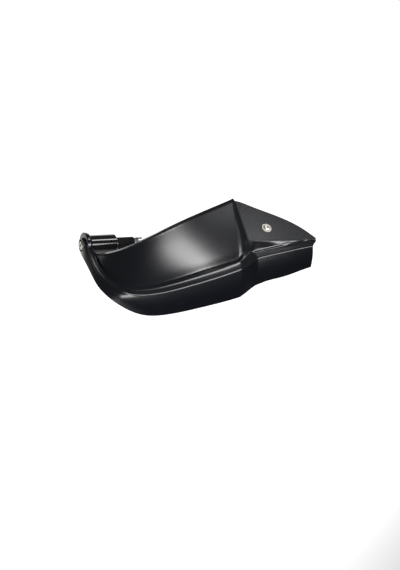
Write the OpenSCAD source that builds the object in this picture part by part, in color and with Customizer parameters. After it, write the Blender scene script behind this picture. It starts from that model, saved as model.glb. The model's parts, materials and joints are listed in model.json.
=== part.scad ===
// Hand guard for the right end of a motorcycle handlebar, with its bar-end and inner mountings.
// X runs along the handlebar toward the rider's middle, Y points to the rider, Z is up.
// The origin is on the bar axis, at the outer face of the rubber that swells in the bar.

/* [Shell] */
// length of the shell from the bar-end ring to its inboard end, mm
shell_length = 311; // [285:1:330]
// how far the shell reaches forward of the bar axis, mm
shell_reach = 121; // [112:1:130]
// height of the shell from the lip's tip down to the skirt, mm
shell_height = 143; // [133:1:153]
// moulded wall, mm
wall = 3; // [2.5:0.1:3.4]
// depth of the triangular recess below the inboard panel, mm
recess_depth = 6.5; // [5:0.5:7]
// how much the front panel swells forward, mm
panel_swell = 2.2; // [1:0.2:4]
// outside diameter of the moulded ring at the bar end, mm
ring_d = 35; // [33:0.5:37]
// width of the moulded ring along the bar, mm
ring_width = 7; // [6.5:0.5:8]
// diameter of the boss behind the guard screw, mm
boss_d = 20; // [19:0.5:22]
// height of that boss over the wall, mm
boss_h = 3; // [2.5:0.5:3.5]

/* [Handlebar] */
// outside diameter of the handlebar tube, mm
bar_d = 22.2; // [22.2:0.1:22.2]
// bore of the handlebar tube, mm
bar_bore = 17.4; // [17:0.1:18]

/* [Bar end] */
// diameter of the bar-end weight, mm
weight_d = 27; // [25:0.5:29]
// length of the bar-end weight, mm
weight_length = 38; // [34:1:41]
// diameter of the dished washer outside the ring, mm
dish_d = 21; // [20:0.5:22]
// thickness of the dished washer, mm
dish_h = 3.6; // [3.2:0.2:4.2]
// length of the rubber that swells in the bar, mm
rubber_length = 25; // [22:1:28]
// length of the cone nut that swells the rubber, mm
cone_length = 15; // [14:1:18]
// thickness of the collar washer at the mouth of the bar, mm
collar_h = 2; // [1.6:0.2:2.6]

/* [Clamp and bracket] */
// width of the bar clamp along the bar, mm
clamp_width = 24; // [22:1:28]
// top of the clamp over the bar axis, mm
clamp_top = 22; // [21:0.5:24]
// half the slit between the clamp halves, mm
clamp_slit = 1; // [0.6:0.1:1.4]
// distance of the clamp bolts from the bar axis, mm
clamp_bolt_y = 18; // [17.5:0.5:20]
// width of the bent bracket strip, mm
strip_width = 24; // [22:1:26]
// thickness of the bent bracket strip, mm
strip = 3; // [2.5:0.25:3.5]
// middle radius of the bracket's bend, mm
bend_r = 6; // [5:0.5:7]

/* [Fixings] */
// thread diameter of all screws, mm
thread_d = 6; // [6:0.5:6]
// diameter of the guard screw's flanged head, mm
head_flange_d = 13.6; // [13:0.2:14]
// height of a button head, mm
head_h = 3.4; // [3:0.2:3.6]
// hexagon socket across flats, mm
socket_af = 4; // [4:0.5:5]
// thickness of a rubber flange of the grommet, mm
grommet_flange = 2.5; // [2:0.25:3]
// diameter of the grommet, mm
grommet_d = 21; // [20:0.5:22]
// hole in the bracket that the grommet fills, mm
grommet_hole_d = 14; // [13:0.5:15]
// diameter of the wide washer behind the grommet, mm
penny_d = 20; // [18:0.5:22]
// thickness of the wide washer, mm
penny_h = 1.5; // [1.2:0.1:2]
// outside diameter of the spacer sleeve, mm
spacer_d = 9; // [8.5:0.25:10]
// across flats of a lock nut, mm
nut_af = 10; // [10:0.5:11]
// height of a lock nut, mm
nut_h = 6; // [5.5:0.5:6.5]
// diameter of a plain washer, mm
washer_d = 12; // [12:0.5:13]
// thickness of a plain washer, mm
washer_h = 1.6; // [1.4:0.1:1.8]

/* [Fits] */
// gap around a thread in its nut or tapped hole, mm
thread_gap = 0.05; // [0.03:0.01:0.08]
// gap around a screw in a clearance hole, mm
hole_gap = 0.3; // [0.2:0.05:0.4]
// gap between parts that slide together, mm
slide_gap = 0.1; // [0.06:0.02:0.14]
// gap of the rubber in the bar before it is tightened, mm
rubber_gap = 0.15; // [0.1:0.05:0.3]
// gap of the clamp's bore round the bar, mm
bar_gap = 0.05; // [0.03:0.01:0.08]
// gap round a screw's head in its spot face, mm
head_gap = 0.3; // [0.2:0.05:0.4]

/* [Hidden] */
$fn = 64;

// nominal lines of the moulding, 22 stations from the ring round the corner to the inboard end
skirt_edge = [[-51.8,-12,-12.9],[-53.7,-22,-15.8],[-54.8,-38,-22.7],[-56.2,-58,-32.9],[-56.2,-78,-45.6],
  [-50.9,-95,-55.6],[-37.8,-107,-68.1],[-9.8,-113,-83.3],[20.5,-115,-84.2],
  [53.7,-115,-80.6],[86.4,-114,-75.9],[114.2,-112,-72.1],[137.5,-108,-68.3],
  [149.7,-103,-63.5],[161.1,-96,-59.4],[169,-92,-56.7],[175,-91,-55.1],[190.9,-89,-50.9],
  [212.9,-86.5,-48.8],[231.8,-84,-45.1],[248.5,-81.5,-41],[265.4,-79,-37.7]];
rim_edge = [[-44.5,-12,4.3],[-46.6,-22,-5.4],[-49.8,-40,-16.7],[-52.3,-60,-26.7],[-50.2,-80,-35.6],
  [-42.3,-98,-44.9],[-29.2,-110,-51.6],[-13.7,-116,-54.3],[14.2,-120,-52.3],[48,-121,-46.2],
  [81.5,-121,-39.8],[110,-120,-34.6],[134.8,-117,-29.7],[149.1,-110,-26.2],[161,-102,-21.6],
  [169.9,-97,-18.1],[175.8,-96,-17.1],[192.2,-94.5,-15.1],[210.4,-93,-12.9],
  [228.7,-91.5,-10.5],[246,-90,-8.2],[262.6,-88.5,-6.8]];
bead_edge = [[-40.6,-14,0.8],[-41,-23,-6.9],[-43.4,-40,-17.1],[-45.7,-60,-25.2],[-42.1,-79,-34.2],
  [-35.4,-95,-41.4],[-26.4,-106.3,-46.6],[-12.1,-112.2,-48.3],[15.8,-116.1,-44.8],
  [49.7,-117.4,-37.5],[83.3,-117.4,-30.2],[112,-116.4,-24.5],[135,-113.3,-19.2],
  [148.5,-104.1,-15.2],[158.8,-94.2,-10.7],[163.8,-89.7,-9.2],[170.5,-88.8,-8.4],
  [189.8,-87.6,-5.5],[209.5,-86.2,-2.8],[226.9,-84.9,-0.4],[246,-83.7,0.4],[270.5,-82.8,0.1]];
panel_foot = [[-37.4,-16,-2.5],[-37.8,-24,-7],[-39.8,-39,-17.6],[-41,-58,-24.8],[-37,-75,-32.8],
  [-30.6,-90,-39.2],[-22.9,-101.3,-44.2],[-10,-107.2,-45.7],[18.1,-111.1,-42.2],
  [52.1,-112.4,-34.8],[85.8,-112.4,-27.5],[115.9,-108.5,-21.8],[139.4,-103.1,-16.7],
  [152.3,-96.9,-10.4],[165.3,-75.1,2.6],[172.9,-75.4,3],[181.3,-75.8,3.2],[196.8,-77.6,2.6],
  [213.2,-79.4,2],[229,-81,1.6],[246.7,-82.4,1.6],[269.7,-84,1.8]];
top_edge = [[-36.3,-17.5,-7.5],[-36.8,-25,-9.1],[-36.8,-38,-7.2],[-33.3,-49,-4.5],[-27.4,-59,-1.8],
  [-18.9,-66,1.4],[-6.3,-70,6.2],[10.3,-71.5,12.7],[37.7,-68.5,22.7],[77,-60,35.7],
  [116,-48,46.2],[143.8,-38.5,53.1],[166.1,-31,59],[168.1,-30.4,57.2],[169.7,-29.5,55.3],
  [174.5,-30.7,54.4],[181.1,-33.2,52.1],[198.8,-41.6,44.1],[217.1,-49.1,37.1],
  [236.4,-57.9,28.7],[254.7,-68.4,18.3],[270.8,-82.7,3.4]];
// the guard screw's place on the inboard panel and the panel's turn and lean, nominal
screw_at = [201.7, -64.25, 18.31];
panel_turn = 4.5;
panel_lean = 41;

// stretch of the nominal lines to the sizes above; the ring keeps its place, a little outboard of them
ring_lead = 1.5;
ring_x = -collar_h - weight_length - ring_width / 2;
stretch = [(shell_length + 40) / 351, shell_reach / 121, shell_height / 143];
function place(p) = [ring_x + ring_lead + (p.x + 40) * stretch.x, p.y * stretch.y, p.z * stretch.z];
function unit(v) = v / norm(v);
function mix(a, b, t) = a + (b - a) * t;

// inboard panel: plane through the screw
flat_normal = unit([-cos(panel_lean) * sin(panel_turn) / stretch.x,
                    -cos(panel_lean) * cos(panel_turn) / stretch.y,
                    sin(panel_lean) / stretch.z]);
S = place(screw_at);
turn = atan2(-flat_normal.x, -flat_normal.y);
tip = acos(flat_normal.z);
clamp_x = S.x - S.y * tan(turn);

first_flat = 14;
last = len(rim_edge) - 1;
// outward level direction at each station, from the run of the rim
function out_dir(j) = let(a = place(rim_edge[max(0, j - 1)]), b = place(rim_edge[min(last, j + 1)]),
                          t = unit([b.x - a.x, b.y - a.y])) [t.y, -t.x, 0];
up = [0, 0, 1];
function recess(j) = j >= 16 && j <= 18 ? recess_depth : j == 19 ? 0.55 * recess_depth : 0;

// one station of the control net, from the skirt's edge up to the top edge, q deep in the recess
function station(j, q) = let(
    k = place(skirt_edge[j]), r = place(rim_edge[j]), b = place(bead_edge[j]),
    f = place(panel_foot[j]), e = place(top_edge[j]), o = out_dir(j),
    d = norm(e - f), rise = unit(e - f), face = unit(cross(rise, cross(o, rise))),
    m = min(1, norm(b - r) / 8), flat = j >= first_flat, in_dir = -flat_normal,
    w = unit(f - b) * min(1, norm(f - b) / 6), s = panel_swell * m * face,
    lip = min(6, 0.35 * d), h = norm(r - k))
  concat([k, mix(k, r, 0.3) + 0.05 * h * o, mix(k, r, 0.6) + 0.06 * h * o, mix(k, r, 0.88) + 0.02 * h * o,
          r - 1.3 * m * up - 0.15 * m * o, r + 0.1 * m * up, mix(r, b, 0.13), mix(r, b, 0.45) - 0.2 * m * up,
          b + 0.7 * m * o - 1.6 * m * up, b + 0.5 * m * o + 0.1 * m * up, b - 0.9 * m * o + 0.3 * m * up],
    flat
      ? [b + q * in_dir + 0.6 * w, mix(b, f, 0.5) + 0.55 * q * in_dir, f + 0.15 * q * in_dir - 1.4 * w,
         f - 0.5 * w, f + 0.3 * rise, f + 1.5 * min(1, d / 12) * rise, mix(f, e, 0.5),
         e - min(3.4, 0.3 * d) * rise, e - min(2.2, 0.2 * d) * rise, e - 0.5 * in_dir]
      : [f - 0.6 * m * o, mix(f, e, 0.07) - 0.4 * m * face, mix(f, e, 0.2) + 0.6 * s, mix(f, e, 0.34) + 0.92 * s,
         mix(f, e, 0.5) + s, mix(f, e, 0.66) + 0.85 * s, mix(f, e, 0.82) + 0.5 * s,
         e - lip * rise - 0.4 * lip * face, e - 0.8 * lip * rise - 0.36 * lip * face, e]);

net = [for (j = [0:last]) station(j, recess(j))];
// extra stations that tighten the crease, the side wall and the recess
function between(a, b, t) = [for (i = [0:len(a) - 1]) mix(a[i], b[i], t)];
fine = concat([for (j = [0:11]) net[j]], [between(net[11], net[12], 0.86), net[12],
       between(net[12], net[13], 0.22), net[13], between(net[13], net[14], 0.7), net[14], net[15],
       between(net[15], station(16, 0), 0.18), between(station(15, recess_depth), net[16], 0.42)],
       [for (j = [16:last]) net[j]]);
cols = len(fine);
rows = len(fine[0]);
// the inner face: same net with the small steps eased, set in by the wall
bead_lo = 3;
bead_hi = 11;
function eased_row(c, i) = (i > bead_lo && i < bead_hi)
  ? let(t = (i - bead_lo) / (bead_hi - bead_lo), a = c[bead_lo], z = c[bead_hi], m = 0.5 * (c[5] + c[9]))
    mix(mix(a, m, min(1, 2 * t)), mix(m, z, max(0, 2 * t - 1)), t < 0.5 ? 0 : 1)
  : c[i];
eased = [for (j = [0:cols - 1]) [for (i = [0:rows - 1]) eased_row(fine[j], i)]];
function soft(n) = [for (j = [0:cols - 1]) [for (i = [0:rows - 1])
  (j > 10 && j < 19) ? 0.25 * n[j - 1][i] + 0.5 * n[j][i] + 0.25 * n[j + 1][i] : n[j][i]]];
soft_net = soft(soft(eased));
function net_normal(n, j, i) = let(
    a = n[max(0, j - 1)][i], b = n[min(cols - 1, j + 1)][i],
    c = n[j][max(0, i - 2)], d = n[j][min(rows - 1, i + 2)]) unit(cross(b - a, d - c));
inner_net = [for (j = [0:cols - 1]) [for (i = [0:rows - 1])
  soft_net[j][i] - wall * net_normal(soft_net, j, i)]];

// uniform cubic B-spline with doubled ends
function basis(t) = [pow(1 - t, 3) / 6, (3 * t * t * t - 6 * t * t + 4) / 6,
                     (-3 * t * t * t + 3 * t * t + 3 * t + 1) / 6, t * t * t / 6];
function ctrl(a, i, n) = i < 0 ? 2 * a[0] - a[1] : i >= n ? 2 * a[n - 1] - a[n - 2] : a[i];
function spline(a, s) = let(n = len(a), i = min(n - 2, floor(s)), w = basis(s - i))
  w[0] * ctrl(a, i - 1, n) + w[1] * ctrl(a, i, n) + w[2] * ctrl(a, i + 1, n) + w[3] * ctrl(a, i + 2, n);
function samples(steps) = concat([for (i = [0:len(steps) - 1]) each [for (k = [0:steps[i] - 1]) i + k / steps[i]]],
                                 [len(steps)]);
col_steps = [2,3,3,3,4,4,4,4,4,4,4,3,2,2,2,2,2,2,2,2,2,3,3,3,3,2];
row_steps = [1,1,2,1,1,1,1,1,1,1,1,1,2,2,2,2,2,2,1,1];
us = samples([for (j = [0:cols - 2]) col_steps[min(j, len(col_steps) - 1)]]);
vs = samples([for (i = [0:rows - 2]) row_steps[min(i, len(row_steps) - 1)]]);
nu = len(us);
nv = len(vs);
// splines run first across the rows at each control column, then along the length
function sheet(n) = let(part = [for (j = [0:cols - 1]) [for (v = vs) spline(n[j], v)]])
  [for (u = us) let(i = min(cols - 2, floor(u)), w = basis(u - i)) [for (k = [0:nv - 1])
    w[0] * side(part, i - 1, k) + w[1] * part[i][k] + w[2] * part[i + 1][k] + w[3] * side(part, i + 2, k)]];
function side(p, j, k) = j < 0 ? 2 * p[0][k] - p[1][k] : j >= cols ? 2 * p[cols - 1][k] - p[cols - 2][k] : p[j][k];

module shell_skin() {
  outer = sheet(fine);
  inner = sheet(inner_net);
  pts = concat([for (c = outer) each c], [for (c = inner) each c]);
  o = nu * nv;
  function at(j, i) = j * nv + i;
  faces = concat(
    [for (j = [0:nu - 2], i = [0:nv - 2]) each [[at(j, i), at(j, i + 1), at(j + 1, i + 1)],
                                                [at(j, i), at(j + 1, i + 1), at(j + 1, i)]]],
    [for (j = [0:nu - 2], i = [0:nv - 2]) each [[o + at(j, i), o + at(j + 1, i + 1), o + at(j, i + 1)],
                                                [o + at(j, i), o + at(j + 1, i), o + at(j + 1, i + 1)]]],
    [for (j = [0:nu - 2]) each [[at(j, 0), at(j + 1, 0), o + at(j + 1, 0)], [at(j, 0), o + at(j + 1, 0), o + at(j, 0)],
      [at(j + 1, nv - 1), at(j, nv - 1), o + at(j, nv - 1)], [at(j + 1, nv - 1), o + at(j, nv - 1), o + at(j + 1, nv - 1)]]],
    [for (i = [0:nv - 2]) each [[at(0, i + 1), at(0, i), o + at(0, i)], [at(0, i + 1), o + at(0, i), o + at(0, i + 1)],
      [at(nu - 1, i), at(nu - 1, i + 1), o + at(nu - 1, i + 1)], [at(nu - 1, i), o + at(nu - 1, i + 1), o + at(nu - 1, i)]]]);
  polyhedron(points = pts, faces = faces, convexity = 10);
}

// places children along the bar, z of the child becoming +X
module on_bar(x) { translate([x, 0, 0]) rotate([0, 90, 0]) children(); }
// places children at the guard screw, z pointing out of the inboard panel
module at_screw(z = 0) { translate(S) rotate([0, 0, -turn]) rotate([tip, 0, 0]) translate([0, 0, z]) children(); }
// places children at the bracket bolt, turned with the bracket
module at_bracket(z = 0) { translate([clamp_x, 0, z]) rotate([0, 0, -turn]) children(); }
module hex(af, h) { cylinder(h = h, d = af / cos(30), $fn = 6); }

ring_in = ring_x - ring_width / 2;
ring_round = 1.2;
ring_taper = 3.6;
sleeve_r = 6;
screw_r = thread_d / 2;
seat = -wall - boss_h;
strip_front = seat - grommet_flange;
strip_back = strip_front - strip;
stack_back = strip_back - grommet_flange;

module guard_shell() color([0.06, 0.06, 0.065]) resize([0, 0, 0]) difference() {
  union() {
    shell_skin();
    on_bar(ring_in) rotate_extrude($fn = 96) polygon([[0, 0], [ring_d / 2 - ring_round, 0],
      [ring_d / 2 - 0.3 * ring_round, 0.3 * ring_round], [ring_d / 2, ring_round],
      [ring_d / 2, ring_width - ring_taper], [ring_d / 2 - 0.4, ring_width - ring_taper + 1.1],
      [ring_d / 2 - 1.4, ring_width - 0.9], [ring_d / 2 - 3, ring_width], [0, ring_width]]);
    at_screw(seat) cylinder(h = boss_h + 0.6 * wall, d = boss_d);
  }
  on_bar(ring_in - 1) cylinder(h = ring_width + 2, r = sleeve_r + slide_gap);
  at_screw(seat - 1) cylinder(h = boss_h + wall + 4, r = screw_r + hole_gap);
  at_screw(0) cylinder(h = 3, d = head_flange_d + 2 * head_gap);
}

module ring_sleeve() color([0.55, 0.56, 0.58]) on_bar(ring_in) difference() {
  cylinder(h = ring_width, r = sleeve_r);
  translate([0, 0, -1]) cylinder(h = ring_width + 2, r = screw_r + hole_gap);
}

module dished_washer() color([0.05, 0.05, 0.05]) on_bar(ring_in - dish_h) difference() {
  union() {
    cylinder(h = 1, d1 = dish_d - 2, d2 = dish_d);
    translate([0, 0, 1]) cylinder(h = dish_h - 1, d = dish_d);
  }
  translate([0, 0, -1]) cylinder(h = dish_h + 2, r = screw_r + hole_gap);
  translate([0, 0, -1]) cylinder(h = dish_h - 1.2 + 1, d = dish_d - 5.4);
}

module bar_end_bolt() color([0.62, 0.62, 0.63]) {
  seat_x = ring_in - 1.2;
  reach = 1.2 + ring_width + weight_length + collar_h + rubber_length - 3 + cone_length;
  difference() {
    union() {
      on_bar(seat_x - head_h) cylinder(h = 1, d1 = 10, d2 = 12);
      on_bar(seat_x - head_h + 1) cylinder(h = head_h - 1, d = 12);
      on_bar(seat_x) cylinder(h = reach, r = screw_r - thread_gap);
    }
    on_bar(seat_x - head_h - 1) hex(socket_af, 1 + 2.2);
  }
}

module bar_end_weight() color([0.03, 0.03, 0.035]) on_bar(-collar_h - weight_length) difference() {
  union() {
    cylinder(h = 1, d1 = weight_d - 2, d2 = weight_d);
    translate([0, 0, 1]) cylinder(h = weight_length - 2, d = weight_d);
    translate([0, 0, weight_length - 1]) cylinder(h = 1, d1 = weight_d, d2 = weight_d - 2);
  }
  translate([0, 0, -1]) cylinder(h = weight_length + 2, r = screw_r + hole_gap);
}

module collar_washer() color([0.6, 0.6, 0.61]) on_bar(-collar_h) difference() {
  cylinder(h = collar_h, d = bar_bore - 0.8);
  translate([0, 0, -1]) cylinder(h = collar_h + 2, r = screw_r + hole_gap);
}

cone_start = rubber_length - 3;
cone_small = screw_r + 3;
cone_big = bar_bore / 2 - 0.5;
cone_taper = 9;
module swelling_rubber() color([0.05, 0.05, 0.05]) on_bar(0) difference() {
  cylinder(h = rubber_length, r = bar_bore / 2 - rubber_gap);
  translate([0, 0, -1]) cylinder(h = rubber_length + 2, r = screw_r + hole_gap);
  translate([0, 0, rubber_length - 3 - slide_gap])
    cylinder(h = cone_taper, r1 = cone_small + 2 * slide_gap, r2 = cone_big + 2 * slide_gap);
}

module cone_nut() color([0.6, 0.6, 0.61]) on_bar(cone_start) difference() {
  union() {
    cylinder(h = cone_taper, r1 = cone_small, r2 = cone_big);
    translate([0, 0, cone_taper]) cylinder(h = cone_length - cone_taper, r = cone_big);
  }
  translate([0, 0, -1]) cylinder(h = cone_length + 2, r = screw_r);
}

// middle line of the bracket in the plane across its bend
mid_off = (strip_front + strip_back) / 2;
arm = norm([S.x - clamp_x, S.y]);
level = clamp_top + strip / 2;
module bracket() color([0.07, 0.07, 0.075]) difference() {
  at_bracket() rotate([90, 0, 90]) translate([0, 0, -strip_width / 2])
    linear_extrude(strip_width) polygon(strip_outline);
  at_bracket(clamp_top) nose_cut(1);
  at_screw(strip_back) nose_cut(-1);
  at_bracket(clamp_top - 1) cylinder(h = strip + 2, r = screw_r + hole_gap);
  at_screw(strip_back - 1) cylinder(h = strip + 2, d = grommet_hole_d);
}
// rounds the strip's end about the hole; side 1 is the rider's end
nose_r = strip_width / 2 + 2;
module nose_cut(side) difference() {
  translate([-strip_width, side > 0 ? 0 : -2 * strip_width, -strip]) cube([2 * strip_width, 2 * strip_width, 3 * strip]);
  translate([0, 0, -2 * strip]) cylinder(h = 5 * strip, r = nose_r);
}
// the bend turns the level leg down onto the panel's slope
slope = tip;
n2 = [-sin(slope), cos(slope)];
d2 = [-cos(slope), -sin(slope)];
hole = [-arm, S.z] + mid_off * n2;
knee = hole - d2 * ((hole.y - level) / d2.y);
cut = bend_r * tan(slope / 2);
function arc(r) = [for (i = [0:8]) let(a = slope * i / 8) [knee.x + cut, level - bend_r] + r * [-sin(a), cos(a)]];
over = nose_r + 2;
nose = hole + over * d2;
strip_outline = concat([[over, level + strip / 2]], arc(bend_r + strip / 2), [nose + strip / 2 * n2, nose - strip / 2 * n2],
  [for (i = [8:-1:0]) arc(bend_r - strip / 2)[i]], [[over, level - strip / 2]]);

ear = clamp_bolt_y + 8;
tap_depth = 11;
module half_profile(s) polygon([[-ear, clamp_slit], [ear, clamp_slit], [ear, 9.5], [ear - 2.5, 12],
  [s + 2, 12 + 0.6], [s, 15], [s, clamp_top - 1.5], [s - 1.5, clamp_top], [-s + 1.5, clamp_top], [-s, clamp_top - 1.5],
  [-s, 15], [-s - 2, 12 + 0.6], [-ear + 2.5, 12], [-ear, 9.5]]);
module along_clamp() translate([clamp_x - clamp_width / 2, 0, 0]) rotate([90, 0, 90]) linear_extrude(clamp_width) children();
module clamp_bore() on_bar(clamp_x - clamp_width / 2 - 1) cylinder(h = clamp_width + 2, r = bar_d / 2 + bar_gap);

module clamp_upper() color([0.08, 0.08, 0.085]) difference() {
  along_clamp() half_profile(13);
  clamp_bore();
  for (y = [-clamp_bolt_y, clamp_bolt_y])
    translate([clamp_x, y, -1]) cylinder(h = 1 + tap_depth, r = screw_r);
  at_bracket(clamp_top - 9) cylinder(h = 10, r = screw_r);
}

lower_deep = 17;
module clamp_lower() color([0.08, 0.08, 0.085]) difference() {
  along_clamp() polygon([[-ear, -clamp_slit], [ear, -clamp_slit], [ear, -8], [ear - 2, -10], [11.5, -10], [9.5, -14.5],
    [6, -lower_deep], [-6, -lower_deep], [-9.5, -14.5], [-11.5, -10], [-ear + 2, -10], [-ear, -8]]);
  clamp_bore();
  for (y = [-clamp_bolt_y, clamp_bolt_y])
    translate([clamp_x, y, -11]) cylinder(h = 12, r = screw_r + hole_gap);
}

module cap_screw(len) {
  difference() {
    union() {
      translate([0, 0, -6]) cylinder(h = 0.8, d1 = 8.4, d2 = 10);
      translate([0, 0, -5.2]) cylinder(h = 5.2, d = 10);
      cylinder(h = len, r = screw_r - thread_gap);
    }
    translate([0, 0, -7]) hex(5, 4);
  }
}
module clamp_bolt(y) translate([clamp_x, y, -10 - washer_h]) cap_screw(washer_h + 10 + 9);
module clamp_washer(y) translate([clamp_x, y, -10 - washer_h]) difference() {
  cylinder(h = washer_h, d = washer_d);
  translate([0, 0, -1]) cylinder(h = washer_h + 2, r = screw_r + hole_gap);
}
module clamp_bolt_front() color([0.1, 0.1, 0.1]) clamp_bolt(-clamp_bolt_y);
module clamp_bolt_rear() color([0.1, 0.1, 0.1]) clamp_bolt(clamp_bolt_y);
module clamp_washer_front() color([0.6, 0.6, 0.6]) clamp_washer(-clamp_bolt_y);
module clamp_washer_rear() color([0.6, 0.6, 0.6]) clamp_washer(clamp_bolt_y);

bracket_top = clamp_top + strip;
module bracket_washer() color([0.6, 0.6, 0.6]) at_bracket(bracket_top) difference() {
  cylinder(h = washer_h, d = washer_d);
  translate([0, 0, -1]) cylinder(h = washer_h + 2, r = screw_r + hole_gap);
}
module bracket_bolt() color([0.1, 0.1, 0.1]) at_bracket(bracket_top + washer_h)
  rotate([180, 0, 0]) cap_screw(washer_h + strip + 8);

shank_tail = 2;
module guard_screw() color([0.72, 0.72, 0.73]) at_screw() difference() {
  union() {
    cylinder(h = 1.1, d = head_flange_d);
    translate([0, 0, 1.1]) cylinder(h = 1.2, d1 = 10.5, d2 = 9.4);
    translate([0, 0, 2.3]) cylinder(h = head_h - 2.3, d1 = 9.4, d2 = 6.6);
    translate([0, 0, stack_back - penny_h - nut_h - shank_tail])
      cylinder(h = -stack_back + penny_h + nut_h + shank_tail, r = screw_r - thread_gap);
  }
  translate([0, 0, head_h - 2]) hex(socket_af, 4);
}
module spacer_sleeve() color([0.6, 0.6, 0.61]) at_screw(stack_back) difference() {
  cylinder(h = seat - stack_back, d = spacer_d);
  translate([0, 0, -1]) cylinder(h = seat - stack_back + 2, r = screw_r + hole_gap);
}
module grommet() color([0.04, 0.04, 0.04]) at_screw(stack_back) difference() {
  union() {
    cylinder(h = grommet_flange, d = grommet_d);
    cylinder(h = seat - stack_back, d = grommet_hole_d - 2 * slide_gap);
    translate([0, 0, seat - stack_back - grommet_flange]) cylinder(h = grommet_flange, d = grommet_d);
  }
  translate([0, 0, -1]) cylinder(h = seat - stack_back + 2, d = spacer_d + 2 * slide_gap);
}
module wide_washer() color([0.6, 0.6, 0.61]) at_screw(stack_back - penny_h) difference() {
  cylinder(h = penny_h, d = penny_d);
  translate([0, 0, -1]) cylinder(h = penny_h + 2, r = screw_r + hole_gap);
}
module lock_nut() color([0.6, 0.6, 0.61]) at_screw(stack_back - penny_h - nut_h) difference() {
  union() {
    translate([0, 0, 1.5]) hex(nut_af, nut_h - 1.5);
    cylinder(h = 1.5, d = nut_af - 1);
  }
  translate([0, 0, -1]) cylinder(h = nut_h + 2, r = screw_r);
}

guard_shell();
ring_sleeve();
dished_washer();
bar_end_bolt();
bar_end_weight();
collar_washer();
swelling_rubber();
cone_nut();
bracket();
clamp_upper();
clamp_lower();
clamp_bolt_front();
clamp_bolt_rear();
clamp_washer_front();
clamp_washer_rear();
bracket_bolt();
bracket_washer();
guard_screw();
grommet();
spacer_sleeve();
wide_washer();
lock_nut();
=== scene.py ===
import json
import math
import bpy
import numpy as np
from mathutils import Matrix, Vector


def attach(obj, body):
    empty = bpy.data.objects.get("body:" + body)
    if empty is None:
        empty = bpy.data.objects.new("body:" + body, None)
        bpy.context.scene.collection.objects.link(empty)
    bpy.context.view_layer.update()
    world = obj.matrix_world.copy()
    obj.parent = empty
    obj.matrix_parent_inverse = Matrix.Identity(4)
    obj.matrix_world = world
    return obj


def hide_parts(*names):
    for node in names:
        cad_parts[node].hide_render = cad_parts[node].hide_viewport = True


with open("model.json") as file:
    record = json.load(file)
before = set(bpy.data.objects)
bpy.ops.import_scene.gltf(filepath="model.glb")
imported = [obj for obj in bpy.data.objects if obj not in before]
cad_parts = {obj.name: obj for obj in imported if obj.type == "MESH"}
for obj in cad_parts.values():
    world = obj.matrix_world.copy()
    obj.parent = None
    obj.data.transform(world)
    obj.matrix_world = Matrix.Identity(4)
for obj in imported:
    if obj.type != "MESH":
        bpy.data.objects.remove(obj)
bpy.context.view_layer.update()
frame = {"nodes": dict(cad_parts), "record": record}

cadNodes = frame["nodes"]
mm = 0.001
scene = bpy.context.scene
scene.view_settings.view_transform = "Standard"


def toLinear(hexColour):  # an sRGB hex colour as the linear one that shaders take
    channels = [int(hexColour[i:i + 2], 16) / 255 for i in (1, 3, 5)]
    return [c / 12.92 if c <= 0.04045 else ((c + 0.055) / 1.055) ** 2.4 for c in channels] + [1.0]


# a number or an input's name sets that input, and any other name is a setting of the node
def addNode(tree, kind, settings=None, links=None):
    node = tree.nodes.new(kind)
    for key, value in (settings or {}).items():
        if isinstance(key, int) or key in node.inputs.keys():
            node.inputs[key].default_value = value
        else:
            setattr(node, key, value)
    for key, source in (links or {}).items():
        tree.links.new(source, node.inputs[key])
    return node


def toward(azimuth, elevation):  # degrees, where azimuth 0 is the guard's front and 90 its inboard side
    a, e = math.radians(azimuth), math.radians(elevation)
    return Vector((math.sin(a) * math.cos(e), -math.cos(a) * math.cos(e), math.sin(e)))


# camera at the photograph's viewing angle: the anchor is a point at the bar end, with its place in the frame
camera = {"azimuth": -26.0, "elevation": 8.0,
          "distance": 1.7,  # metres from the anchor
          "focalPixels": 1259.26,
          "frameHeight": 570,
          "frameCentre": (200.0, 285.0),
          "sensorHeight": 36,  # mm
          "clip": (0.05, 50),
          "anchor": (-0.052, 0.0, 0.0),
          "anchorPixel": (80.0, 245.5)}


def placeCamera(c):
    back = toward(c["azimuth"], c["elevation"])
    right = Vector((0, 0, 1)).cross(back).normalized()
    up = back.cross(right)
    scale = c["distance"] / c["focalPixels"]
    offset = right * (c["anchorPixel"][0] - c["frameCentre"][0]) * scale \
        - up * (c["anchorPixel"][1] - c["frameCentre"][1]) * scale
    data = bpy.data.cameras.new("photoCamera")
    data.sensor_fit = "VERTICAL"
    data.sensor_height = c["sensorHeight"]
    data.lens = c["focalPixels"] / c["frameHeight"] * data.sensor_height
    data.clip_start, data.clip_end = c["clip"]
    thing = bpy.data.objects.new("photoCamera", data)
    scene.collection.objects.link(thing)
    turn = Matrix((right, up, back)).transposed().to_4x4()
    thing.matrix_world = Matrix.Translation(Vector(c["anchor"]) + back * c["distance"] - offset) @ turn
    scene.camera = thing


placeCamera(camera)
print("camera placed")

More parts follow.
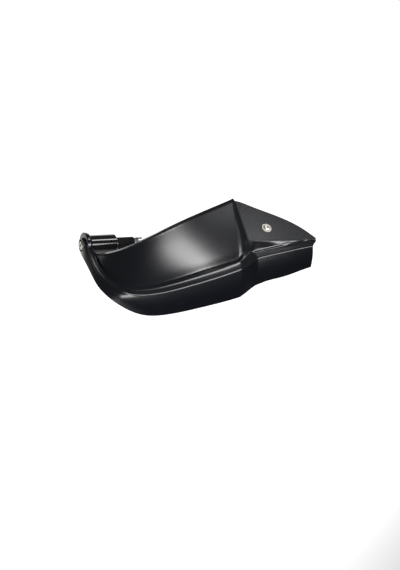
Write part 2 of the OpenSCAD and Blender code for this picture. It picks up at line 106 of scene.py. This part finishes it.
# the guard shell, in millimetres. A pair is (outward, upward) where no note says otherwise, and the five
# lines at the end run through 22 stations, from the ring round the corner to the inboard end
shell = {
    "wall": 3.0,
    "ringX": -43.5, "ringLead": 1.5, "ringDiameter": 35.0, "ringWidth": 7.0,
    "ringRound": 1.2,  # outboard edge of the ring
    "ringShoulder": (3.6, 3.2),  # inboard edge: along the bar and across it
    "boreRadius": 6.1,
    "screw": (201.7, -64.25, 18.31), "screwHole": 3.3, "holeSpan": (-12, 6),
    "spotFace": 7.1, "spotRise": 3.0,
    "bossDiameter": 20.0, "bossHeight": 3.0, "bossRoot": 0.6,
    "firstFlat": 14,  # the inboard panel is a plane from this station on
    "panelTurn": 4.5, "panelLean": 41.0,  # degrees
    "skirtBulge": [(0.3, 0.05), (0.6, 0.06), (0.88, 0.02)],  # shares of the skirt's height: up, and outward
    "ledgeWidth": 8.0,  # from this width on, ridge and bead have their full size
    "ridgeUnder": (-0.1, -1.7),
    "ledgeRows": [(0.19, 0.0), (0.5, -0.2)],  # share of the ledge's width, and mm upward
    "beadRows": [(0.7, -1.6), (0.7, 0.1), (-0.9, 0.3)],
    "crestRows": [(0.6, -2.6), (1.9, -1.6), (1.75, 0.0), (1.5, 1.9)],  # lower edge of the recess
    "recess": 6.5,
    "recessShare": {16: 1, 17: 1, 18: 1, 19: 0.55},  # share of its depth, by station
    # share of the way up, share of the depth, and mm along the slope
    "recessRows": [(0, 1, 0.6), (0.5, 0.55, 0), (1, 0.15, -1.6), (1, 0, -0.8)],
    "recessRound": 6.0,  # a slope shorter than this has smaller rounds
    "footRows": (0.7, 1.8), "footRound": 12.0,  # mm above the foot, less where the panel is this short
    "topRows": [(3.4, 0.3), (2.2, 0.2)],  # mm below the top edge, and at most this share of the panel
    "lip": 6.0, "lipShare": 0.35, "lipFlare": 0.15,  # mm, and at most this share of the panel
    "lipRow": (0.8, 0.1),  # shares of the lip: down, and back
    "lipBend": (1.5, 0.1),  # mm below the bend, and at most this share of the panel
    "swell": 1.25,  # crown of the scooped panel
    "panelRows": (0.14, 0.32, 0.52, 0.75),  # shares of the way up
    "footStep": (0.9, 0.06),  # mm above the foot, and at most this share of the panel
    "footSet": {9: 0.8, 10: 2.0, 11: 2.6, 12: 2.2}, "footWay": (0.43, 0.89, -0.14),
    "valley": 0.5, "valleyGrowth": 0.35, "valleyFrom": 8,  # between panel and rim, deeper past that station
    "rimDrop": {6: 0.2, 7: 0.9, 8: 1.9, 9: 2.1, 10: 1.9, 11: 0.9},
    "dropShares": (1.0, 0.8, 0.15),  # of rim, bead and foot
    "creaseStations": (0.86, 0.22, 0.7), "recessStations": (0.18, 0.42),  # extra ones that keep edges tight
    "edgeChamfer": 0.75, "chamferAlong": ([6.5, 9, 12, 13], [1, 0.2, 0.15, 0]),  # full at the outboard end
    "smoothBelow": 38.0,  # degrees
    "skirtEdge": [[-51.8,-12,-12.9],[-53.7,-22,-15.8],[-54.8,-38,-22.7],[-56.2,-58,-32.9],
        [-56.2,-78,-45.6],[-50.9,-95,-55.6],[-37.8,-107,-68.1],[-9.8,-113,-83.3],[20.5,-115,-84.2],
        [53.7,-115,-80.6],[86.4,-114,-75.9],[114.2,-112,-72.1],[137.5,-108,-68.3],[149.7,-103,-63.5],
        [161.1,-96,-59.4],[169,-92,-56.7],[175,-91,-55.1],[190.9,-89,-50.9],[212.9,-86.5,-48.8],
        [231.8,-84,-45.1],[248.5,-81.5,-41],[265.4,-79,-37.7]],
    "rimEdge": [[-44.5,-12,4.3],[-46.6,-22,-5.4],[-49.8,-40,-16.7],[-52.3,-60,-26.7],
        [-50.2,-80,-35.6],[-42.3,-98,-44.9],[-29.2,-110,-51.6],[-13.7,-116,-54.3],[14.2,-120,-52.3],
        [48,-121,-46.2],[81.5,-121,-39.8],[110,-120,-34.6],[134.8,-117,-29.7],[149.1,-110,-26.2],
        [161,-102,-21.6],[169.9,-97,-18.1],[175.8,-96,-17.1],[192.2,-94.5,-15.1],[210.4,-93,-12.9],
        [228.7,-91.5,-10.5],[246,-90,-8.2],[262.6,-88.5,-6.8]],
    "beadEdge": [[-40.6,-14,0.8],[-41,-23,-6.9],[-43.4,-40,-17.1],[-45.7,-60,-25.2],[-42.1,-79,-34.2],
        [-35.4,-95,-41.4],[-26.4,-106.3,-46.6],[-12.1,-112.2,-48.3],[15.8,-116.1,-44.8],
        [49.7,-117.4,-37.5],[83.3,-117.4,-30.2],[112,-116.4,-24.5],[135,-113.3,-19.2],
        [148.5,-104.1,-15.2],[158.8,-94.2,-10.7],[163.8,-89.7,-9.2],[170.5,-88.8,-8.4],
        [189.8,-87.6,-5.5],[209.5,-86.2,-2.8],[226.9,-84.9,-0.4],[246,-83.7,0.4],[270.5,-82.8,0.1]],
    "panelFoot": [[-37.4,-16,-2.5],[-37.8,-24,-7],[-39.8,-39,-17.6],[-41,-58,-24.8],[-37,-75,-32.8],
        [-30.6,-90,-39.2],[-22.9,-101.3,-44.2],[-10,-107.2,-45.7],[18.1,-111.1,-42.2],
        [52.1,-112.4,-34.8],[85.8,-112.4,-27.5],[115.9,-108.5,-21.8],[139.4,-103.1,-16.7],
        [152.3,-96.9,-10.4],[165.3,-75.1,2.6],[172.9,-75.4,3],[181.3,-75.8,3.2],[196.8,-77.6,2.6],
        [213.2,-79.4,2],[229,-81,1.6],[246.7,-82.4,1.6],[269.7,-84,1.8]],
    "topEdge": [[-36.3,-17.5,-7.5],[-36.8,-25,-9.1],[-36.8,-38,-7.2],[-33.3,-49,-4.5],
        [-27.4,-59,-1.8],[-18.9,-66,1.4],[-6.3,-70,6.2],[10.3,-71.5,12.7],[37.7,-68.5,22.7],
        [77,-60,35.7],[116,-48,46.2],[143.8,-38.5,53.1],[166.1,-31,59],[168.1,-30.4,57.2],
        [169.7,-29.5,55.3],[174.5,-30.7,54.4],[181.1,-33.2,52.1],[198.8,-41.6,44.1],
        [217.1,-49.1,37.1],[236.4,-57.9,28.7],[254.7,-68.4,18.3],[270.8,-82.7,3.4]]}


def unit(v):
    return v / np.linalg.norm(v)


def mix(a, b, t):
    return a + (b - a) * t


shift = np.array([shell["ringX"] + shell["ringLead"] + 40, 0, 0])
lines = {name: np.array(shell[name], float) + shift
         for name in ("skirtEdge", "rimEdge", "beadEdge", "panelFoot", "topEdge")}
lean, turn = math.radians(shell["panelLean"]), math.radians(shell["panelTurn"])
flatNormal = np.array([-math.cos(lean) * math.sin(turn), -math.cos(lean) * math.cos(turn), math.sin(lean)])
screwPoint = np.array(shell["screw"]) + shift
up = np.array([0, 0, 1.0])


def station(j, q=0.0):  # one cross section from the skirt's edge to the top edge, with the recess q deep
    k, r, b, f, e = (lines[n][j] for n in ("skirtEdge", "rimEdge", "beadEdge", "panelFoot", "topEdge"))
    drop = shell["rimDrop"].get(j, 0)
    r, b, f = (p - share * drop * up for p, share in zip((r, b, f), shell["dropShares"]))
    f = f + shell["footSet"].get(j, 0) * np.array(shell["footWay"])
    last = len(lines["rimEdge"]) - 1
    run = lines["rimEdge"][min(last, j + 1)] - lines["rimEdge"][max(0, j - 1)]
    run = unit(run[:2])
    o = np.array([run[1], -run[0], 0])  # outward, level and square to the rim
    d, rise = np.linalg.norm(e - f), unit(e - f)
    face = unit(np.cross(rise, np.cross(o, rise)))
    m = min(1, np.linalg.norm(b - r) / shell["ledgeWidth"])
    h = np.linalg.norm(r - k)
    out, high = shell["ridgeUnder"]
    rows = [k] + [mix(k, r, t) + bulge * h * o for t, bulge in shell["skirtBulge"]]
    rows += [r + high * m * up + out * m * o, r]
    rows += [mix(r, b, t) + sag * m * up for t, sag in shell["ledgeRows"]]
    rows += [b + out * m * o + high * m * up for out, high in shell["beadRows"]]
    if j >= shell["firstFlat"]:
        w = unit(f - b)
        c = min(1, np.linalg.norm(f - b) / shell["recessRound"])
        proud = (q / shell["recess"]) ** 2
        crest = [b + out * o + high * up for out, high in shell["crestRows"]]
        rows[-4:] = [mix(row, edge, proud) for row, edge in zip(rows[-4:], crest)]
        rows += [mix(b, f, t) - deep * q * flatNormal + along * c * w
                 for t, deep, along in shell["recessRows"]]
        low, high = shell["footRows"]
        rows += [f + low * rise, f + high * min(1, d / shell["footRound"]) * rise, mix(f, e, 0.5)]
        rows += [e - min(most, share * d) * rise for most, share in shell["topRows"]] + [e]
    else:
        lip = min(shell["lip"], shell["lipShare"] * d)
        bend = e - lip * rise - shell["lipFlare"] * lip * face
        reach = np.linalg.norm(bend - f)
        foot, top = (min(most, share * d) / reach for most, share in (shell["footStep"], shell["lipBend"]))
        dip = shell["valley"] + shell["valleyGrowth"] * max(0, j - shell["valleyFrom"])
        crown = [(t, 4 * t * (1 - t) * shell["swell"]) for t in (foot, *shell["panelRows"], 1 - top, 1)]
        crown[0] = (foot, crown[0][1] - dip)
        below, back = shell["lipRow"]
        rows += [f - shell["valley"] * m * o] + [mix(f, bend, t) + high * m * face for t, high in crown]
        rows += [e - below * lip * rise - back * lip * face, e]
    return np.array(rows)


def controlNet():
    net = [station(j, shell["recess"] * shell["recessShare"].get(j, 0))
           for j in range(len(lines["rimEdge"]))]
    before, after, late = shell["creaseStations"]
    early, inside = shell["recessStations"]
    recessed = mix(station(15, shell["recess"]), station(16, shell["recess"]), inside)
    crease = [mix(net[11], net[12], before), net[12], mix(net[12], net[13], after), net[13],
              mix(net[13], net[14], late), net[14]]
    return np.array(net[:12] + crease + [net[15], mix(net[15], station(16), early), recessed] + net[16:])


def innerNet(fine):  # the back of the wall, which passes the rim's small forms in an easy curve
    eased = fine.copy()
    low, high = 3, 11  # rows below the ridge and above the bead
    for i in range(low + 1, high):
        t = (i - low) / (high - low)
        middle = 0.5 * (fine[:, 5] + fine[:, 9])  # between ridge and bead
        eased[:, i] = mix(fine[:, low], middle, 2 * t) if t < 0.5 else mix(middle, fine[:, high], 2 * t - 1)
    for _ in range(2):  # soften the crease
        eased[11:19] = 0.25 * eased[10:18] + 0.5 * eased[11:19] + 0.25 * eased[12:20]
    cols, rows = eased.shape[:2]
    out = np.zeros_like(eased)
    for j in range(cols):
        for i in range(rows):
            along = eased[min(cols - 1, j + 1), i] - eased[max(0, j - 1), i]
            across = eased[j, min(rows - 1, i + 2)] - eased[j, max(0, i - 2)]
            out[j, i] = eased[j, i] - shell["wall"] * unit(np.cross(along, across))
    return out


def splineMatrix(count, samples):  # weights of a uniform cubic B-spline
    matrix = np.zeros((len(samples), count + 2))
    for row, s in enumerate(samples):
        i = min(count - 2, int(s))
        t = s - i
        matrix[row, i:i + 4] = [(1 - t) ** 3 / 6, (3 * t ** 3 - 6 * t * t + 4) / 6,
                                (-3 * t ** 3 + 3 * t * t + 3 * t + 1) / 6, t ** 3 / 6]
    return matrix


def withGhosts(a):  # one more row at each end, so that the surface reaches its edges
    return np.concatenate([[2 * a[0] - a[1]], a, [2 * a[-1] - a[-2]]])


def sheet(net, colSamples, rowSamples):
    cols, rows = net.shape[:2]
    along = np.tensordot(splineMatrix(cols, colSamples), withGhosts(net), axes=(1, 0))
    along = np.swapaxes(along, 0, 1)
    across = np.tensordot(splineMatrix(rows, rowSamples), withGhosts(along), axes=(1, 0))
    return np.swapaxes(across, 0, 1)


def spread(steps):  # sample places, with so many steps in each span
    out = [i + k / n for i, n in enumerate(steps) for k in range(n)]
    return out + [len(steps)]


def shellSkin():
    fine = controlNet()
    colSteps = [8] * 12 + [5] * 9 + [8] * (len(fine) - 22)  # facets between one station and the next
    rowSteps = [2, 5, 5, 3, 3, 3, 3, 3, 3, 3, 3, 4, 4, 4, 4, 6, 8, 8, 4, 3]  # and between two rows
    us, vs = spread(colSteps), spread(rowSteps)
    outer, inner = sheet(fine, us, vs), sheet(innerNet(fine), us, vs)
    nu, nv = len(us), len(vs)
    cut = shell["edgeChamfer"] * np.interp(us, *shell["chamferAlong"])[:, None]
    for k in (1, 2, 3):  # the lip's last facets
        outer[:, -k] = mix(outer[:, -k], outer[:, -4], cut)
    points = np.concatenate([outer.reshape(-1, 3), inner.reshape(-1, 3)]) * mm
    half = nu * nv
    faces = []
    for j in range(nu - 1):
        for i in range(nv - 1):
            a, b, c, d = j * nv + i, j * nv + i + 1, (j + 1) * nv + i + 1, (j + 1) * nv + i
            faces += [(a, d, c, b), (half + a, half + b, half + c, half + d)]
        a, b = j * nv, (j + 1) * nv
        aTop, bTop = a + nv - 1, b + nv - 1
        faces += [(b, a, half + a, half + b), (aTop, bTop, half + bTop, half + aTop)]
    for i in range(nv - 1):
        a, b = i, (nu - 1) * nv + i
        faces += [(a, a + 1, half + a + 1, half + a), (b + 1, b, half + b, half + b + 1)]
    return points, faces


def newPiece(name, points, faces):
    mesh = bpy.data.meshes.new(name)
    mesh.from_pydata([tuple(p) for p in points], [], faces)
    mesh.validate()
    piece = bpy.data.objects.new(name, mesh)
    scene.collection.objects.link(piece)
    return piece


def lathe(profile, steps=96):  # turned about the handlebar's axis
    points, faces = [], []
    n = len(profile)
    for s in range(steps):
        a = 2 * math.pi * s / steps
        points += [(x, r * math.cos(a), r * math.sin(a)) for x, r in profile]
    for s in range(steps):
        t = (s + 1) % steps
        for i in range(n):
            k = (i + 1) % n
            faces.append((s * n + i, s * n + k, t * n + k, t * n + i))
    return np.array(points), faces


points, faces = shellSkin()
guardSkin = newPiece("guardShell", points, faces)
print("shell skin", len(points))


def boolean(piece, tool, operation):
    modifier = piece.modifiers.new(operation, "BOOLEAN")
    modifier.operation, modifier.object, modifier.solver = operation, tool, "MANIFOLD"
    bpy.context.view_layer.update()
    graph = bpy.context.evaluated_depsgraph_get()
    mesh = bpy.data.meshes.new_from_object(piece.evaluated_get(graph))
    piece.modifiers.clear()
    old = piece.data
    piece.data = mesh
    bpy.data.meshes.remove(old)
    toolMesh = tool.data
    bpy.data.objects.remove(tool)
    bpy.data.meshes.remove(toolMesh)


ringHalf, ringRadius = shell["ringWidth"] / 2, shell["ringDiameter"] / 2
ringLow, ringHigh = shell["ringX"] - ringHalf, shell["ringX"] + ringHalf
edge, (wide, tall) = shell["ringRound"], shell["ringShoulder"]
profile = [(ringLow + edge - edge * math.cos(a), ringRadius - edge + edge * math.sin(a))
           for a in (math.pi * k / 12 for k in range(7))]
profile += [(ringHigh - wide + wide * math.sin(a), ringRadius - tall + tall * math.cos(a))
            for a in (math.pi * k / 20 for k in range(11))]
profile += [(ringHigh, shell["boreRadius"]), (ringLow, shell["boreRadius"])]
ringPoints, ringFaces = lathe(profile)
ring = newPiece("ringTool", ringPoints * mm, [f[::-1] for f in ringFaces])
boolean(guardSkin, ring, "UNION")


def turnTo(direction):
    return Vector(direction).to_track_quat("Z", "Y").to_matrix()


def drum(name, centre, direction, radius, low, high, steps=96):  # a plain cylinder that adds or cuts
    points = [(radius * math.cos(2 * math.pi * k / steps), radius * math.sin(2 * math.pi * k / steps), z)
              for z in (low, high) for k in range(steps)]
    faces = [(k, (k + 1) % steps, steps + (k + 1) % steps, steps + k) for k in range(steps)]
    faces += [tuple(range(steps))[::-1], tuple(range(steps, 2 * steps))]
    turned = [(turnTo(direction) @ Vector(p) + Vector(centre)) * mm for p in points]
    return newPiece(name, turned, faces)


boss = drum("bossTool", screwPoint, flatNormal, shell["bossDiameter"] / 2,
            -shell["wall"] - shell["bossHeight"], -shell["wall"] + shell["bossRoot"])
boolean(guardSkin, boss, "UNION")
hole = drum("holeTool", screwPoint, flatNormal, shell["screwHole"], *shell["holeSpan"], 64)
boolean(guardSkin, hole, "DIFFERENCE")
spot = drum("spotTool", screwPoint, flatNormal, shell["spotFace"], 0, shell["spotRise"])
boolean(guardSkin, spot, "DIFFERENCE")
guardSkin.data.shade_smooth()
guardSkin.data.set_sharp_from_angle(angle=math.radians(shell["smoothBelow"]))
print("ring joined", len(guardSkin.data.polygons))
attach(guardSkin, "root")
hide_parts("guard_shell")

# one finish for each slot of the record: tone and deepTone are the two ends of its faint clouding, grain and
# bump are the width and height of its surface texture in mm, and shader holds what stays one value. Under
# 1 mm the grain is drawn coarser than the real one, which is about 0.1 to 0.3 mm and too fine to show
finishes = {
    # moulded ABS with a fine satin face: near black, with tight clear highlights along rim, lip and recess
    "satin_black_plastic": {
        "name": "satinMouldedAbs", "tone": "#0a0c10", "deepTone": "#08090d", "roughness": (0.20, 0.24),
        "grain": 0.9, "bump": 0.006, "shader": {"IOR": 1.5, "Specular IOR Level": 0.5}},
    # gloss enamel on turned steel: a black body with one thin bright line along it
    "gloss_black_steel": {
        "name": "glossBlackSteel", "tone": "#121214", "deepTone": "#0e0e10", "roughness": (0.08, 0.12),
        "grain": 3.0, "bump": 0.001, "shader": {"IOR": 1.5, "Specular IOR Level": 0.36}},
    # powder coat on bent steel plate: charcoal, with a broad dull sheen
    "satin_black_steel": {
        "name": "powderCoatedSteel", "tone": "#1b1b1c", "deepTone": "#151516", "roughness": (0.38, 0.46),
        "grain": 1.2, "bump": 0.02, "shader": {"IOR": 1.5, "Specular IOR Level": 0.5}},
    # turned stainless steel: a pale warm metal with soft wide highlights
    "stainless_steel": {
        "name": "turnedStainless", "tone": "#b5b2aa", "deepTone": "#a3a098", "roughness": (0.31, 0.41),
        "grain": 0.6, "bump": 0.004, "shader": {"Metallic": 1.0}},
    # bright zinc plate on steel: a cooler metal, a little clearer than the stainless
    "zinc_steel": {
        "name": "brightZincSteel", "tone": "#b9bcc0", "deepTone": "#a7aaad", "roughness": (0.27, 0.37),
        "grain": 0.8, "bump": 0.004, "shader": {"Metallic": 1.0}},
    # black anodised aluminium, milled: a dark metal with a silky sheen
    "black_alloy": {
        "name": "blackAnodisedAlloy", "tone": "#232326", "deepTone": "#1c1c1e", "roughness": (0.35, 0.41),
        "grain": 0.5, "bump": 0.006, "shader": {"Metallic": 0.6}},
    # moulded rubber: matt and almost without highlights
    "black_rubber": {
        "name": "mattMouldedRubber", "tone": "#0c0c0d", "deepTone": "#090909", "roughness": (0.65, 0.75),
        "grain": 0.8, "bump": 0.015, "shader": {"IOR": 1.5, "Specular IOR Level": 0.2}}}
clouding = {"width": 45, "detail": 3.0}  # width in mm
graining = {"detail": 2.0, "strength": 0.6}


def newMaterial(name, settings):
    material = bpy.data.materials.new(name)
    material.use_nodes = True
    tree = material.node_tree
    tree.nodes.clear()
    out = addNode(tree, "ShaderNodeOutputMaterial")
    shader = addNode(tree, "ShaderNodeBsdfPrincipled", settings)
    tree.links.new(shader.outputs["BSDF"], out.inputs["Surface"])
    return material, tree, shader


def grainMaterial(finish):
    material, tree, shader = newMaterial(finish["name"], finish["shader"])
    place = addNode(tree, "ShaderNodeTexCoord").outputs["Object"]
    grain = addNode(tree, "ShaderNodeTexNoise",
                    {"Scale": 1000 / finish["grain"], "Detail": graining["detail"]}, {"Vector": place})
    cloud = addNode(tree, "ShaderNodeTexNoise",
                    {"Scale": 1000 / clouding["width"], "Detail": clouding["detail"]}, {"Vector": place})
    rough = addNode(tree, "ShaderNodeMapRange",
                    {"To Min": finish["roughness"][0], "To Max": finish["roughness"][1]},
                    {"Value": cloud.outputs["Fac"]})
    tree.links.new(rough.outputs["Result"], shader.inputs["Roughness"])
    tint = addNode(tree, "ShaderNodeMix",
                   {"data_type": "RGBA", 6: toLinear(finish["deepTone"]), 7: toLinear(finish["tone"])},
                   {0: cloud.outputs["Fac"]})
    tree.links.new(tint.outputs[2], shader.inputs["Base Color"])
    bump = addNode(tree, "ShaderNodeBump",
                   {"Strength": graining["strength"], "Distance": finish["bump"] * mm},
                   {"Height": grain.outputs["Fac"]})
    tree.links.new(bump.outputs["Normal"], shader.inputs["Normal"])
    return material


materials = {name: grainMaterial(finish) for name, finish in finishes.items()}
guardSkin.data.materials.clear()
guardSkin.data.materials.append(materials["satin_black_plastic"])
for part in frame["record"]["subparts"]:
    for slot in cadNodes[part["node"]].material_slots:
        slot.material = materials[part["material_slot"]]
print("materials set")

# stage and light, in metres and degrees. The floor is pale paper to the camera, and under the front of the
# guard it is darker in reflections, which keeps the skirt dark. The room is white to the camera, and in
# reflections it is white only on the far side
studio = {"floorZ": -0.45, "floorSize": 60.0, "floorColour": "#f2f2f2",
          "frontColour": "#393a40", "frontAzimuth": 40.0, "frontFloor": (0.12, 0.45),
          "floorLift": 0.6, "liftSpan": (0.4, 2.6),  # glow near the guard, and where it grows to full
          "ambient": 0.25,  # plain light from the room
          "roomShade": 0.12, "roomSpan": (0.5, 0.9), "backdropAzimuth": 170.0,
          "target": (0.10, -0.06, -0.01)}  # what the lamps face
lamps = {
    "keySoftbox": {"azimuth": 38, "elevation": 58, "distance": 1.6, "size": (0.32, 0.28), "radiance": 18.5},
    "highSoftbox": {"azimuth": 84, "elevation": 61, "distance": 1.6, "size": (0.2, 0.25), "radiance": 2.6},
    "levelStrip": {"azimuth": 8, "elevation": 9.5, "distance": 2.0, "size": (4.4, 0.5), "radiance": 14},
    "armSoftbox": {"azimuth": 141, "elevation": 46, "distance": 1.6, "size": (0.45, 0.3), "radiance": 1.6},
    "rearSoftbox": {"azimuth": 165, "elevation": 30, "distance": 1.8, "size": (0.9, 0.5), "radiance": 2.5}}

floorMesh = bpy.data.meshes.new("studioFloor")
s, z = studio["floorSize"] / 2, studio["floorZ"]
floorMesh.from_pydata([(-s, -s, z), (s, -s, z), (s, s, z), (-s, s, z)], [], [(0, 1, 2, 3)])
studioFloor = bpy.data.objects.new("studioFloor", floorMesh)
scene.collection.objects.link(studioFloor)


def seenDirectly(tree):  # the light path, and 1 where the camera sees something straight or in a reflection
    path = addNode(tree, "ShaderNodeLightPath")
    either = addNode(tree, "ShaderNodeMath", {"operation": "MAXIMUM"},
                     {0: path.outputs["Is Camera Ray"], 1: path.outputs["Is Glossy Ray"]})
    anyOf = addNode(tree, "ShaderNodeMath", {"operation": "MAXIMUM"},
                    {0: either.outputs[0], 1: path.outputs["Is Transmission Ray"]})
    return path, anyOf.outputs[0]


floorMaterial = bpy.data.materials.new("palePaper")
floorMaterial.use_nodes = True
tree = floorMaterial.node_tree
tree.nodes.clear()
path, direct = seenDirectly(tree)
spot = addNode(tree, "ShaderNodeNewGeometry").outputs["Position"]
ahead = addNode(tree, "ShaderNodeVectorMath",
                {"operation": "DOT_PRODUCT", 1: tuple(toward(studio["frontAzimuth"], 0))}, {0: spot})
front = addNode(tree, "ShaderNodeMapRange",
                {"interpolation_type": "SMOOTHSTEP", "From Min": studio["frontFloor"][0],
                 "From Max": studio["frontFloor"][1]}, {"Value": ahead.outputs["Value"]})
reach = addNode(tree, "ShaderNodeVectorMath", {"operation": "LENGTH"}, {0: spot})
far = addNode(tree, "ShaderNodeMapRange",
              {"interpolation_type": "SMOOTHSTEP", "From Min": studio["liftSpan"][0],
               "From Max": studio["liftSpan"][1], "To Min": studio["floorLift"], "To Max": 1.0},
              {"Value": reach.outputs["Value"]})
tone = addNode(tree, "ShaderNodeMix",
               {"data_type": "RGBA", 6: toLinear(studio["floorColour"]), 7: toLinear(studio["frontColour"])},
               {0: front.outputs["Result"]})
paper = addNode(tree, "ShaderNodeBsdfDiffuse", None, {"Color": tone.outputs[2]})
clear = addNode(tree, "ShaderNodeMath", {"operation": "SUBTRACT", 0: 1.0}, {1: front.outputs["Result"]})
shown = addNode(tree, "ShaderNodeMath", {"operation": "MAXIMUM"},
                {0: clear.outputs[0], 1: path.outputs["Is Camera Ray"]})
lift = addNode(tree, "ShaderNodeMath", {"operation": "MULTIPLY"}, {0: direct, 1: far.outputs["Result"]})
lift = addNode(tree, "ShaderNodeMath", {"operation": "MULTIPLY"}, {0: lift.outputs[0], 1: shown.outputs[0]})
glow = addNode(tree, "ShaderNodeEmission", {"Color": (1, 1, 1, 1)}, {"Strength": lift.outputs[0]})
both = addNode(tree, "ShaderNodeAddShader", None, {0: paper.outputs[0], 1: glow.outputs[0]})
addNode(tree, "ShaderNodeOutputMaterial", None, {"Surface": both.outputs[0]})
floorMesh.materials.append(floorMaterial)

world = bpy.data.worlds.new("studioWorld")
scene.world = world
world.use_nodes = True
tree = world.node_tree
tree.nodes.clear()
path, direct = seenDirectly(tree)
facing = addNode(tree, "ShaderNodeVectorMath",
                 {"operation": "DOT_PRODUCT", 1: tuple(toward(studio["backdropAzimuth"], 0))},
                 {0: addNode(tree, "ShaderNodeTexCoord").outputs["Generated"]})
room = addNode(tree, "ShaderNodeMapRange",
               {"interpolation_type": "SMOOTHSTEP", "From Min": studio["roomSpan"][0],
                "From Max": studio["roomSpan"][1], "To Min": studio["roomShade"], "To Max": 1.0},
               {"Value": facing.outputs["Value"]})
seenRoom = addNode(tree, "ShaderNodeMath", {"operation": "MAXIMUM"},
                   {0: room.outputs["Result"], 1: path.outputs["Is Camera Ray"]})
level = addNode(tree, "ShaderNodeMapRange", {"To Min": studio["ambient"]},
                {"Value": direct, "To Max": seenRoom.outputs[0]})
sky = addNode(tree, "ShaderNodeBackground", {"Color": (1, 1, 1, 1)}, {"Strength": level.outputs["Result"]})
addNode(tree, "ShaderNodeOutputWorld", None, {"Surface": sky.outputs[0]})

for name, d in lamps.items():
    lamp = bpy.data.lights.new(name, "AREA")
    lamp.shape, lamp.size, lamp.size_y = "RECTANGLE", d["size"][0], d["size"][1]
    lamp.energy = d["radiance"] * math.pi * d["size"][0] * d["size"][1]  # watts
    thing = bpy.data.objects.new(name, lamp)
    away = toward(d["azimuth"], d["elevation"])
    thing.location = Vector(studio["target"]) + away * d["distance"]
    thing.rotation_euler = (-away).to_track_quat("-Z", "Y").to_euler()
    scene.collection.objects.link(thing)
print("studio lit")
